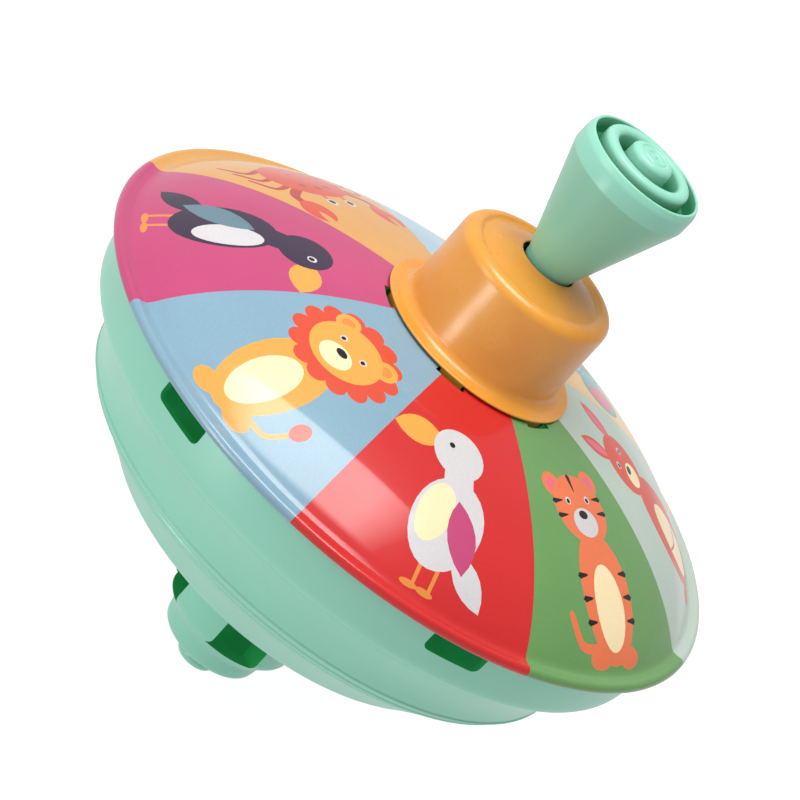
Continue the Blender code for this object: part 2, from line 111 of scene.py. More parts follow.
# Vents in the body and windows in the foot's drum
VENT_COUNT = 6
VENT_START = radians(-118.1)
VENT_WIDTH = 12.7
VENT_LOW_Z = 63.2
VENT_HIGH_Z = 68.2
VENT_CORNER = 1.4
WINDOW_COUNT = 4
WINDOW_START = radians(-66.0)
WINDOW_ANGLE = radians(43.0)
WINDOW_SKEW = radians(28.0)
DRUM_RADIUS = 14.3
WINDOW_LOW_Z = 11.0
WINDOW_HIGH_Z = 20.2

# Finish of every mesh, and the studio: angles in radians, places in metres
SHARP_ANGLE = radians(32)
FLOOR_RADIUS = 2600.0
CAMERA_TURNS = (-0.0040, 0.41845, 0.73269)
CAMERA_PLACE = (0.0, -0.8948, 0.4682)
CAMERA_LENS = 231.73


# ---------------------------------------------------------------- colours


def linear(red, green, blue):
    """An sRGB colour given as 0-255 values, as linear RGBA."""
    values = [c / 255 for c in (red, green, blue)]
    return (*[c / 12.92 if c <= 0.04045 else ((c + 0.055) / 1.055) ** 2.4 for c in values], 1.0)


INKS = {
    "sage": linear(182, 198, 186),
    "peach": linear(236, 192, 134),
    "sky": linear(164, 198, 216),
    "ochre": linear(218, 160, 86),
    "pink": linear(190, 68, 115),
    "blue": linear(130, 164, 183),
    "red": linear(204, 40, 40),
    "green": linear(104, 152, 88),
    "white": linear(208, 204, 205),
    "cream": linear(246, 224, 178),
    "yolk": linear(236, 162, 72),
    "amber": linear(222, 138, 62),
    "orange": linear(232, 118, 74),
    "coral": linear(214, 76, 52),
    "brick": linear(182, 52, 42),
    "rose": linear(226, 104, 128),
    "navy": linear(52, 36, 62),
    "black": linear(20, 14, 16),
    "teal": linear(110, 165, 168),
    "slate": linear(98, 128, 140),
}
MINT = linear(150, 217, 194)
MINT_SHADE = linear(144, 211, 187)


# -------------------------------------------------------------- materials


def put(tree, kind, values=None, **settings):
    """Add a node. Its settings are its own properties, and a socket among the values is linked."""
    made = tree.nodes.new(kind)
    for key, value in settings.items():
        setattr(made, key, value)
    for key, value in (values or {}).items():
        if isinstance(value, bpy.types.NodeSocket):
            tree.links.new(value, made.inputs[key])
        else:
            made.inputs[key].default_value = value
    return made


def new_material(name):
    """An empty node material: its tree, its Principled shader and the piece's own coordinates."""
    made = bpy.data.materials.new(name)
    made.use_nodes = True
    tree = made.node_tree
    place = put(tree, "ShaderNodeTexCoord").outputs["Object"]
    return made, tree, tree.nodes["Principled BSDF"], place


def noise(tree, place, size, detail=2.0, distortion=0.0):
    """Noise between 0 and 1 whose features are about size millimetres across."""
    values = {"Vector": place, "Scale": 1 / (size * MM), "Detail": detail, "Distortion": distortion}
    return put(tree, "ShaderNodeTexNoise", values).outputs["Fac"]


def speck_cells(tree, place, size):
    """Distance from scattered points about size millimetres apart, as a part of that size."""
    values = {"Vector": place, "Scale": 1 / (size * MM)}
    return put(tree, "ShaderNodeTexVoronoi", values).outputs["Distance"]


def remap(tree, value, low, high, to_low=0.0, to_high=1.0):
    """A clamped linear map of a value."""
    values = {"Value": value, "From Min": low, "From Max": high, "To Min": to_low, "To Max": to_high}
    return put(tree, "ShaderNodeMapRange", values).outputs["Result"]


def mix_colour(tree, factor, first, second, blend="MIX"):
    made = put(tree, "ShaderNodeMix", data_type="RGBA", blend_type=blend)
    for key, value in ((0, factor), (6, first), (7, second)):
        if isinstance(value, bpy.types.NodeSocket):
            tree.links.new(value, made.inputs[key])
        else:
            made.inputs[key].default_value = value
    return made.outputs[2]


def bump(tree, height, depth, strength=1.0, under=None):
    """Bump of the given depth in millimetres, on top of another bump if there is one."""
    values = {"Height": height, "Distance": depth * MM, "Strength": strength}
    if under:
        values["Normal"] = under
    return put(tree, "ShaderNodeBump", values).outputs["Normal"]


def apply(tree, shader, values):
    """Set or link the shader's inputs."""
    for key, value in values.items():
        if isinstance(value, bpy.types.NodeSocket):
            tree.links.new(value, shader.inputs[key])
        else:
            shader.inputs[key].default_value = value


def moulded_plastic(name, light, dark, speck, roughness=0.3):
    """Moulded plastic: slow colour drift, a few dust specks, a faint waviness and uneven gloss."""
    made, tree, shader, place = new_material(name)
    drift = remap(tree, noise(tree, place, 26, 1), 0.15, 0.85)
    colour = mix_colour(tree, drift, light, dark)
    cells = speck_cells(tree, place, 9)
    colour = mix_colour(tree, remap(tree, cells, 0.030, 0.015, 0.0, 0.3), colour, speck)
    gloss = remap(tree, noise(tree, place, 8, 2), 0.1, 0.9, roughness - 0.02, roughness + 0.02)
    wave = bump(tree, noise(tree, place, 20, 1), 0.02, 0.3)
    apply(tree, shader, {"Base Color": colour, "Roughness": gloss, "Normal": wave, "IOR": 1.49})
    return made, tree, shader


def mint(name, light=MINT, dark=MINT_SHADE):
    return moulded_plastic(name, light, dark, linear(122, 184, 162))


def cone_painted_shade():
    """The knob's cone in a darker mint than its rim: painted shade, as the cone faces down, away from the
    light.
    """
    return mint("cone_painted_shade", linear(146, 210, 182), linear(138, 203, 174))[0]


def groove_painted_shade():
    """The mint plastic down in the knob's ring grooves, darker green the deeper it lies: painted shade in
    the grooves.
    """
    made, tree, shader = mint("groove_painted_shade")
    height = put(tree, "ShaderNodeSeparateXYZ", {"Vector": shader_place(tree)}).outputs["Z"]
    # painted shade: towards a dark green from 2 mm below the knob's top down to 4.6 mm below it
    groove_shade_depth = remap(tree, height, (KNOB_TOP_Z - 2.0) * MM, (KNOB_TOP_Z - 4.6) * MM)
    plain = shader.inputs["Base Color"].links[0].from_socket
    apply(tree, shader, {"Base Color": mix_colour(tree, groove_shade_depth, plain, linear(58, 146, 100))})
    return made


def inside_painted_shade(name, strength):
    """The same plastic seen from inside, painted deep green for the shade there, with a painted glow for
    the light that comes through the wall.
    """
    # painted shade: deep green in place of the shade inside the body
    deep = linear(26, 118, 60)
    made, tree, shader = moulded_plastic(name, deep, linear(22, 108, 54), linear(12, 80, 40), 0.5)
    cloud = remap(tree, noise(tree, shader_place(tree), 9, 2), 0.3, 0.7)
    # painted glow: emission in the same deep green, as strong as strength, for light passing through the
    # wall
    glow = mix_colour(tree, cloud, deep, linear(21, 106, 53))
    values = {"Emission Color": glow, "Emission Strength": strength, "Specular IOR Level": 0.1}
    apply(tree, shader, values)
    return made


def shader_place(tree):
    return tree.nodes["Texture Coordinate"].outputs["Object"]


def green_plastic():
    # the parts' own dark green, made near black as painted shade, since they show only in shadow through
    # the hole and slots
    light, dark, speck = linear(18, 66, 38), linear(14, 54, 30), linear(8, 36, 20)
    return moulded_plastic("green_plastic", light, dark, speck, 0.42)[0]


def natural_plastic():
    light, dark, speck = linear(236, 233, 222), linear(226, 221, 206), linear(170, 160, 140)
    return moulded_plastic("natural_plastic", light, dark, speck, 0.4)[0]


def printed_tin():
    """Ink on tin under a clear gloss: a fine screen in the ink, orange peel in the varnish."""
    made, tree, shader, place = new_material("printed_tin")
    ink = put(tree, "ShaderNodeAttribute", attribute_name="ink").outputs["Color"]
    grain = remap(tree, noise(tree, place, 0.35, 2), 0.2, 0.8, 0.93, 1.05)
    cloud = remap(tree, noise(tree, place, 16, 2), 0.3, 0.7, 0.97, 1.03)
    tone = put(tree, "ShaderNodeMath", {0: grain, 1: cloud}, operation="MULTIPLY").outputs[0]
    shade = put(tree, "ShaderNodeVectorMath", {0: ink, "Scale": tone}, operation="SCALE").outputs[0]
    gloss = remap(tree, noise(tree, place, 9, 3), 0.3, 0.7, 0.30, 0.40)
    peel = bump(tree, noise(tree, place, 1.6, 1), 0.006, 0.4)
    wave = bump(tree, noise(tree, place, 24, 1), 0.12, 0.25, peel)
    values = {"Base Color": shade, "Roughness": gloss, "Normal": wave, "Specular IOR Level": 0.15}
    values.update({"Coat Weight": 0.65, "Coat Roughness": 0.06, "Coat Normal": wave})
    apply(tree, shader, values)
    return made


def bare_tin():
    """The unprinted back of the tin, with a rolled grain and dull patches."""
    made, tree, shader, place = new_material("bare_tin")
    patch = remap(tree, noise(tree, place, 12, 4), 0.3, 0.7)
    colour = mix_colour(tree, patch, linear(196, 190, 176), linear(170, 164, 150))
    gloss = remap(tree, patch, 0, 1, 0.3, 0.5)
    grain = bump(tree, noise(tree, place, 0.8, 2), 0.01, 0.5)
    apply(tree, shader, {"Base Color": colour, "Roughness": gloss, "Normal": grain, "Metallic": 1.0})
    return made


def ochre_tin():
    """Ochre lacquer on drawn tin: its colour drifts slowly at random between two ochres, with specks and
    fine draw marks.
    """
    made, tree, shader, place = new_material("ochre_tin")
    drift = remap(tree, noise(tree, place, 10, 3), 0.3, 0.7)
    colour = mix_colour(tree, drift, linear(234, 160, 58), linear(224, 148, 48))
    cells = speck_cells(tree, place, 3.4)
    colour = mix_colour(tree, remap(tree, cells, 0.06, 0.03, 0.0, 0.5), colour, linear(150, 92, 36))
    stretch = put(tree, "ShaderNodeMapping", {"Vector": place, "Scale": (1, 1, 0.08)}).outputs["Vector"]
    marks = noise(tree, stretch, 0.5, 2)
    gloss = remap(tree, noise(tree, place, 5, 3), 0.3, 0.7, 0.26, 0.38)
    skin = bump(tree, noise(tree, place, 0.9, 2), 0.012, 0.5)
    drawn = bump(tree, marks, 0.010, 0.4, skin)
    wave = bump(tree, noise(tree, place, 11, 1), 0.10, 0.4, drawn)
    values = {"Base Color": colour, "Roughness": gloss, "Normal": wave}
    values.update({"Coat Weight": 0.35, "Coat Roughness": 0.12, "Coat Normal": wave})
    apply(tree, shader, values)
    return made


def worked_metal(name, light, dark, roughness):
    """Plain metal with turning marks round its axis and a little tarnish."""
    made, tree, shader, place = new_material(name)
    tarnish = remap(tree, noise(tree, place, 4, 4), 0.35, 0.7)
    colour = mix_colour(tree, tarnish, light, dark)
    squash = put(tree, "ShaderNodeMapping", {"Vector": place, "Scale": (0.05, 0.05, 1)}).outputs["Vector"]
    marks = noise(tree, squash, 0.25, 2)
    gloss = remap(tree, tarnish, 0, 1, roughness, roughness + 0.15)
    lines = bump(tree, marks, 0.008, 0.6)
    apply(tree, shader, {"Base Color": colour, "Roughness": gloss, "Normal": lines, "Metallic": 1.0})
    return made


def steel():
    return worked_metal("steel", linear(206, 207, 210), linear(166, 166, 170), 0.24)


def brass():
    return worked_metal("brass", linear(222, 190, 116), linear(176, 140, 76), 0.26)


def floor_paint():
    """Pale studio floor that is bright of itself, so that the top's shadow on it stays faint.

    Seen by other surfaces it is dimmer, as a real floor below the lights would be.
    """
    made, tree, shader, place = new_material("floor_paint")
    cloud = remap(tree, noise(tree, place, 220, 2), 0.3, 0.7, 0.985, 1.0)
    white = put(tree, "ShaderNodeCombineColor", {0: cloud, 1: cloud, 2: cloud}).outputs["Color"]
    grain = bump(tree, noise(tree, place, 3, 2), 0.05, 0.3)
    seen = put(tree, "ShaderNodeLightPath").outputs["Is Camera Ray"]
    values = {"Base Color": linear(120, 120, 120), "Roughness": 0.9, "Normal": grain}
    values.update({"Emission Color": white, "Emission Strength": remap(tree, seen, 0, 1, 0.62, 0.95)})
    values["Specular IOR Level"] = 0.0
    apply(tree, shader, values)
    return made


MATERIALS = {
    "mint_plastic": mint("mint_plastic")[0],
    "green_plastic": green_plastic(),
    "natural_plastic": natural_plastic(),
    "printed_tin": printed_tin(),
    "ochre_tin": ochre_tin(),
    "steel": steel(),
    "brass": brass(),
}
# painted shade and glow for the inside of the body and of the foot's drum
SHELL_INSIDE_PAINTED_SHADE = inside_painted_shade("shell_inside_painted_shade", 0.7)
CAGE_INSIDE_PAINTED_SHADE = inside_painted_shade("cage_inside_painted_shade", 0.55)
# painted shade for the knob's grooves
GROOVE_PAINTED_SHADE = groove_painted_shade()
# painted shade: the knob cone's darker mint
CONE_PAINTED_SHADE = cone_painted_shade()
BARE_TIN = bare_tin()


# ------------------------------------------------------- modelling helpers


def add_piece(name, mesh, body, slot, *nodes):
    """Show a mesh in metres as a piece that rides on a body and stands for CAD nodes."""
    obj = bpy.data.objects.new(name, mesh)
    bpy.context.scene.collection.objects.link(obj)
    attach(obj, body)
    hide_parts(*nodes)
    return obj


def to_mesh(name, bm, *surfaces):
    """A smooth-shaded mesh in metres from a bmesh in millimetres."""
    bmesh.ops.recalc_face_normals(bm, faces=bm.faces)
    bmesh.ops.scale(bm, vec=(MM, MM, MM), verts=bm.verts)
    mesh = bpy.data.meshes.new(name)
    bm.to_mesh(mesh)
    bm.free()
    for surface in surfaces:
        mesh.materials.append(surface)
    mesh.shade_smooth()
    mesh.set_sharp_from_angle(angle=SHARP_ANGLE)
    return mesh


def lathe(outline, segments=SEGMENTS, inside=()):
    """Turn a closed (r, z) outline about the axis. Sides numbered in inside take the second material."""
    bm = bmesh.new()
    count = len(outline)
    rings = []
    for i in range(segments):
        turn = tau * i / segments
        rings.append([bm.verts.new((r * cos(turn), r * sin(turn), z)) for r, z in outline])
    for here, after in zip(rings, rings[1:] + rings[:1]):
        for j in range(count):
            k = (j + 1) % count
            if outline[j][0] < 1e-9 and outline[k][0] < 1e-9:
                continue
            face = bm.faces.new((here[j], after[j], after[k], here[k]))
            face.material_index = 1 if j in inside else 0
    bmesh.ops.remove_doubles(bm, verts=bm.verts, dist=1e-5)
    return bm


def rounded(corners, step=radians(11)):
    """A closed outline from (r, z) or (r, z, radius) corners. A corner with a radius becomes an arc."""
    places = [Vector(corner[:2]) for corner in corners]
    outline = []
    for i, corner in enumerate(corners):
        here = places[i]
        if len(corner) < 3:
            outline.append(tuple(here))
            continue
        back = (places[i - 1] - here).normalized()
        ahead = (places[(i + 1) % len(places)] - here).normalized()
        half = back.angle(ahead) / 2
        centre = here + (back + ahead).normalized() * corner[2] / sin(half)
        reach = corner[2] / tan(half)
        first = (here + back * reach - centre).normalized()
        last = (here + ahead * reach - centre).normalized()
        steps = max(2, ceil((pi - 2 * half) / step))
        outline += [tuple(centre + first.slerp(last, t / steps) * corner[2]) for t in range(steps + 1)]
    return outline


def flowing(points, steps=6, closed=False):
    """A smooth line through points (a Catmull-Rom spline)."""
    points = [np.array(p, float) for p in points]
    count = len(points)
    line = []
    for i in range(count if closed else count - 1):
        if closed:
            a, b, c, d = (points[(i + n) % count] for n in (-1, 0, 1, 2))
        else:
            a, b, c, d = (points[min(max(i + n, 0), count - 1)] for n in (-1, 0, 1, 2))
        for n in range(steps):
            t = n / steps
            curve = (2 * a - 5 * b + 4 * c - d) * t * t + (3 * b - a - 3 * c + d) * t ** 3
            line.append(tuple(b + 0.5 * ((c - a) * t + curve)))
    if not closed:
        line.append(tuple(points[-1]))
    return line


def inward(points, distance):
    """The line of an outline moved to its left by a wall's thickness, point by point."""
    moved = []
    for i, point in enumerate(points):
        before = Vector(points[max(i - 1, 0)])
        after = Vector(points[min(i + 1, len(points) - 1)])
        along = (after - before).normalized()
        moved.append((point[0] + along.y * distance, point[1] - along.x * distance))
    return moved


def polar_angles(count, start):
    return [start + tau * i / count for i in range(count)]


def carve(mesh, tools, operation="DIFFERENCE", solver="EXACT"):
    """The mesh after a boolean with each tool, a bmesh in millimetres."""
    scene = bpy.context.scene
    base = bpy.data.objects.new("carved", mesh)
    scene.collection.objects.link(base)
    guides = []
    for tool in tools:
        guide = bpy.data.objects.new("tool", to_mesh("tool", tool, *mesh.materials))
        scene.collection.objects.link(guide)
        step = base.modifiers.new("cut", "BOOLEAN")
        step.operation = operation
        step.solver = solver
        step.object = guide
        guides.append(guide)
    bpy.context.view_layer.update()
    result = bpy.data.meshes.new_from_object(base.evaluated_get(bpy.context.evaluated_depsgraph_get()))
    for obj in [base, *guides]:
        bpy.data.objects.remove(obj)
    result.set_sharp_from_angle(angle=SHARP_ANGLE)
    return result


def prism(face, low, high, axis="Z"):
    """A flat outline of (a, b) points pushed from low to high along Z or X."""
    bm = bmesh.new()
    order = {"Z": lambda a, b, c: (a, b, c), "X": lambda a, b, c: (c, a, b)}[axis]
    base = bm.faces.new([bm.verts.new(order(a, b, low)) for a, b in face])
    grown = bmesh.ops.extrude_face_region(bm, geom=[base])
    moved = [v for v in grown["geom"] if isinstance(v, bmesh.types.BMVert)]
    bmesh.ops.translate(bm, vec=order(0, 0, high - low), verts=moved)
    return bm


def turned_about_axis(bm, angle):
    bmesh.ops.rotate(bm, cent=(0, 0, 0), matrix=Matrix.Rotation(angle, 3, "Z"), verts=bm.verts)
    return bm


# ------------------------------------------------------------ art outlines


def ellipse(x, y, wide, high, tilt=0.0, points=28):
    """An ellipse of the given half-widths, turned by tilt degrees."""
    turn = radians(tilt)
    outline = []
    for i in range(points):
        a, b = wide * cos(tau * i / points), high * sin(tau * i / points)
        outline.append((x + a * cos(turn) - b * sin(turn), y + a * sin(turn) + b * cos(turn)))
    return outline


def stroke(start, end, *points):
    """A brush line through points, as wide as start at one end and end at the other."""
    line = [Vector(p) for p in flowing(points, 6)]
    left, right = [], []
    for i, here in enumerate(line):
        along = (line[min(i + 1, len(line) - 1)] - line[max(i - 1, 0)]).normalized()
        half = (start + (end - start) * i / (len(line) - 1)) / 2
        side = Vector((-along.y, along.x)) * half
        left.append(tuple(here + side))
        right.append(tuple(here - side))
    tip = line[-1] + (line[-1] - line[-2]).normalized() * end / 2
    tail = line[0] + (line[0] - line[1]).normalized() * start / 2
    return [tuple(tail)] + left + [tuple(tip)] + right[::-1]


def leaf(x, y, angle, length, width):
    """A pointed leaf that grows from (x, y) at angle degrees."""
    turn = radians(angle)
    rise = [i / 7 for i in range(8)]
    upper = [(t * length, sin(pi * t) ** 0.8 * width / 2) for t in rise]
    lower = [(t * length, -sin(pi * t) ** 0.8 * width / 2) for t in rise[-2:0:-1]]
    along, across = cos(turn), sin(turn)
    return [(x + a * along - b * across, y + a * across + b * along) for a, b in upper + lower]


def flip(outline, x=0.0):
    """The outline mirrored about a vertical line at x."""
    return [(2 * x - a, b) for a, b in outline]


def both(ink, outline, x=0.0):
    """A shape and its mirror image."""
    return [(ink, outline), (ink, flip(outline, x))]


def eye(x, y, size=0.8):
    pupil = 0.62 * size
    return [("white", ellipse(x, y, size, size)), ("black", ellipse(x, y - 0.1, pupil, pupil))]


# ----------------------------------------------------------------- animals
# Plain animals of simple shapes: x runs round the rim, y from the crease (0) up to the crown.


def torso(coat, belly):
    """A sitting body seen from the front, with a paler belly and two paws."""
    art = [(coat, ellipse(0, 13.5, 8.2, 13.0)), (belly, ellipse(0, 11.5, 4.8, 8.4))]
    return art + both(coat, ellipse(5.0, 2.2, 3.6, 2.2))


def head(coat, muzzle, ear):
    """A round head with two round ears, a muzzle and a nose."""
    art = both(coat, ellipse(6.2, 36.4, 2.6, 2.6)) + both(ear, ellipse(6.2, 36.4, 1.4, 1.4))
    art += [(coat, ellipse(0, 31, 8.0, 7.2)), (muzzle, ellipse(0, 28.2, 3.8, 3.0))]
    art += [("black", ellipse(0, 29.8, 1.4, 0.9))]
    return art + eye(-3.2, 32.8) + eye(3.2, 32.8)


def spots(ink, size, *places):
    return [(ink, ellipse(x, y, size, size * 0.85)) for x, y in places]


def lion():
    art = [("yolk", stroke(1.2, 1.0, (6, 4), (11, 5), (13, 10)))]
    art += [("coral", ellipse(13.2, 11.4, 1.8, 2.4))]
    mane = [(10.0 * cos(a), 31 + 9.0 * sin(a)) for a in polar_angles(14, 0.0)]
    art += torso("yolk", "cream") + [("coral", ellipse(0, 31, 10.0, 9.0))] + spots("coral", 2.4, *mane)
    return art + head("yolk", "cream", "amber")


def tiger():
    art = [("orange", stroke(2.0, 1.6, (-6, 4), (-11, 5), (-13, 11)))] + torso("orange", "cream")
    for y in (9.0, 13.5, 18.0):
        art += both("black", stroke(1.4, 0.3, (7.8, y), (5.4, y)))
    art += head("orange", "white", "rose")
    for y in (30.0, 33.0):
        art += both("black", stroke(1.2, 0.2, (7.6, y), (5.0, y)))
    return art + [("black", stroke(1.2, 0.2, (0, 37.8), (0, 34.6)))]


def elephant():
    art = torso("teal", "slate") + both("teal", ellipse(9.0, 31, 5.4, 6.6))
    art += both("rose", ellipse(9.4, 31, 3.4, 4.6))
    art += [("teal", ellipse(0, 31, 7.4, 7.2)), ("slate", stroke(4.4, 2.4, (0, 30), (0, 23), (3.4, 18)))]
    return art + eye(-3.4, 33) + eye(3.4, 33)


def giraffe():
    art = torso("yolk", "cream") + [("yolk", stroke(6.0, 4.6, (0, 20), (0, 36)))]
    art += spots("brick", 1.3, (-6, 18), (6, 16), (-5.8, 9), (6.2, 10), (0.6, 24), (-0.8, 29), (0.8, 33))
    art += both("brick", stroke(0.7, 1.3, (1.8, 42), (2.2, 45.4)))
    art += both("yolk", leaf(3.6, 40, 20, 4.4, 2.2))
    art += [("yolk", ellipse(0, 39, 4.6, 4.6)), ("cream", ellipse(0, 36.6, 3.2, 2.4))]
    return art + eye(-2.0, 40.2, 0.7) + eye(2.0, 40.2, 0.7)


def kangaroo():
    art = [("coral", stroke(3.6, 1.0, (4, 4), (12, 2.6), (19, 3.4)))] + torso("coral", "cream")
    art += [("brick", stroke(0.5, 0.5, (-4.4, 12), (0, 10.6), (4.4, 12)))]
    art += both("coral", leaf(3.4, 35, 72, 10, 4.0)) + both("rose", leaf(3.6, 36, 72, 7.6, 2.2))
    art += [("coral", ellipse(0, 31, 6.6, 6.8)), ("cream", ellipse(0, 28, 3.0, 2.6))]
    art += [("black", ellipse(0, 29.4, 1.2, 0.8))]
    return art + eye(-2.6, 32.8) + eye(2.6, 32.8)


def bird(coat, chest, wing, beak):
    """A standing bird seen from the side, its beak to the right."""
    art = [("amber", stroke(0.9, 0.8, (x, 8), (x, 1.6))) for x in (-1.8, 2.0)]
    art += [("amber", ellipse(x + 0.8, 1.2, 2.0, 0.7)) for x in (-1.8, 2.0)]
    art += [(coat, leaf(-3, 12, 218, 13, 6.0)), (coat, ellipse(0, 16, 7.6, 10.6, 12))]
    art += [(beak, leaf(5, 33, -6, 11, 6.6))]
    art += [(coat, ellipse(1.6, 32, 5.6, 5.6)), (coat, stroke(7.0, 6.0, (-0.6, 22), (1.2, 31)))]
    art += [(chest, ellipse(3.0, 17, 3.6, 7.0, 10)), (wing, leaf(-1.0, 22, -112, 15, 6.6))]
    return art + eye(3.4, 33.4, 1.0)


def dark_bird():
    return bird("navy", "white", "slate", "yolk")


def white_bird():
    return [(ink, flip(outline)) for ink, outline in bird("white", "cream", "pink", "yolk")]


def crab():
    art = []
    for y in (21, 17, 13):
        art += both("brick", stroke(1.5, 0.8, (8, y), (14, y + 1.6), (17, y - 3)))
    art += both("brick", stroke(2.2, 2.2, (8, 23), (12, 26), (12, 30)))
    art += both("coral", ellipse(11.6, 32, 3.6, 4.2))
    art += both("ochre", leaf(11.6, 38, -90, 6.0, 2.0)) + [("coral", ellipse(0, 18, 11, 8))]
    art += spots("brick", 0.9, (-4, 21), (0, 22), (4, 21))
    art += both("coral", stroke(1.0, 1.0, (3, 24), (3, 28)))
    art += [("brick", stroke(0.5, 0.5, (-2.4, 15.6), (0, 14.6), (2.4, 15.6)))]
    return art + eye(-3, 28.4, 1.3) + eye(3, 28.4, 1.3)


PICTURES = [
    ("sage", kangaroo),
    ("peach", elephant),
    ("sky", giraffe),
    ("ochre", crab),
    ("pink", dark_bird),
    ("blue", lion),
    ("red", white_bird),
    ("green", tiger),
]


# -------------------------------------------------------------- tin dome


def dome_z(radius):
    return DOME_CENTRE_Z + DOME_RISE * np.sqrt(1.0 - (radius / DOME_SEMI_AXIS) ** 2)


def bend(first, middle, last, steps=24):
    """A quadratic Bezier bend between two points."""
    first, middle, last = (np.array(p) for p in (first, middle, last))
    t = np.linspace(0, 1, steps)[:, None]
    return first * (1 - t) ** 2 + middle * 2 * t * (1 - t) + last * t ** 2


def bead_point(degrees):
    turn = radians(degrees)
    return BEAD_CENTRE[0] + BEAD_RADIUS * cos(turn), BEAD_CENTRE[1] + BEAD_RADIUS * sin(turn)


class TinPath:
    """The tin's outer face from the axis to the end of the bead's lip, measured by its arc length s."""

    def __init__(self):
        radii = np.linspace(0.0, CREASE_RADIUS - 0.5, DOME_SAMPLES)
        dome = np.stack([radii, dome_z(radii)], 1)
        valley = (CREASE_RADIUS + 1.1, RIM_Z - 0.15)
        crease = bend(dome[-1], (CREASE_RADIUS + 0.5, valley[1] + 0.05), valley)
        bead_start = bead_point(110)
        rise = bend(valley, (bead_start[0] - 0.3, valley[1]), bead_start)
        bead = np.array([bead_point(a) for a in np.linspace(110, -90, 60)])
        lip = np.array([(bead[-1][0] - t, bead[-1][1]) for t in np.linspace(0, 1.6, 8)])
        points = np.concatenate([dome, crease[1:], rise[1:], bead[1:], lip[1:]])
        self.r, self.z = points.T
        along = np.gradient(points, axis=0)
        along /= np.linalg.norm(along, axis=1)[:, None]
        self.normal = np.stack([-along[:, 1], along[:, 0]], 1)
        steps = np.linalg.norm(np.diff(points, axis=0), axis=1)
        self.s = np.concatenate([[0.0], np.cumsum(steps)])
        self.crease = self.s[len(dome) - 1] + 0.5
        self.bead_start = self.s[len(dome) + len(crease) + len(rise) - 3]

    def s_at_radius(self, radius):
        """Arc length at a radius on the dome."""
        return float(np.interp(radius, self.r[:DOME_SAMPLES], self.s[:DOME_SAMPLES]))

    def at(self, s):
        """Radius, height, and the outward normal's radial and upward parts."""
        curves = (self.r, self.z, self.normal[:, 0], self.normal[:, 1])
        return [np.interp(s, self.s, curve) for curve in curves]


TIN_PATH = TinPath()


def stops(low, high, step):
    """Evenly spaced values from low to high, at most a step apart."""
    return list(np.linspace(low, high, max(2, ceil((high - low) / step) + 1)))


def sample_azimuths(sector):
    start = SECTOR_START + sector * SECTOR_ANGLE
    return [start + SECTOR_ANGLE * i / SECTOR_STEPS for i in range(SECTOR_STEPS + 1)]


def in_slot(s, azimuth):
    """True where a collar tab passes through the dome."""
    low, high = TIN_PATH.s_at_radius(SLOT_LOW_RADIUS), TIN_PATH.s_at_radius(SLOT_HIGH_RADIUS)
    half = (TAB_WIDTH + 0.9) / 2 / SLOT_LOW_RADIUS
    turn = (azimuth - SLOT_START) % (tau / SLOT_COUNT)
    return low < s < high and min(turn, tau / SLOT_COUNT - turn) < half


def add_rings(flat, inks, rings, sector):
    """Plain rings of one sector, as triangles in the flat disc whose radius is arc length."""
    ink = list(INKS).index(PICTURES[sector][0])
    turns = sample_azimuths(sector)
    grid = [[flat.verts.new((s * cos(a), s * sin(a), 0)) for a in turns] for s in rings]
    for i in range(len(rings) - 1):
        for j in range(SECTOR_STEPS):
            if in_slot((rings[i] + rings[i + 1]) / 2, (turns[j] + turns[j + 1]) / 2):
                continue
            a, b, c, d = grid[i][j], grid[i + 1][j], grid[i + 1][j + 1], grid[i][j + 1]
            for corners in ((a, b, c), (a, c, d)):
                flat.faces.new(corners)[inks] = ink


def inside(outline, points):
    """Which points lie inside a closed outline."""
    x, y = points.T
    hit = np.zeros(len(points), bool)
    for (x1, y1), (x2, y2) in zip(outline, outline[1:] + outline[:1]):
        if y1 != y2:
            crosses = (y1 > y) != (y2 > y)
            hit ^= crosses & (x < (x2 - x1) * (y - y1) / (y2 - y1) + x1)
    return hit


def held_in_sector(outline, rings):
    """The outline with each point moved, where needed, to just inside its sector's edges."""
    margin = 0.04
    held = []
    for x, y in outline:
        reach = hypot(x, TIN_PATH.crease - y)
        reach = min(max(reach, rings[0] + margin), rings[-1] - margin)
        limit = SECTOR_ANGLE / 2 - margin / reach
        turn = min(max(atan2(x, TIN_PATH.crease - y), -limit), limit)
        held.append((reach * sin(turn), TIN_PATH.crease - reach * cos(turn)))
    return held


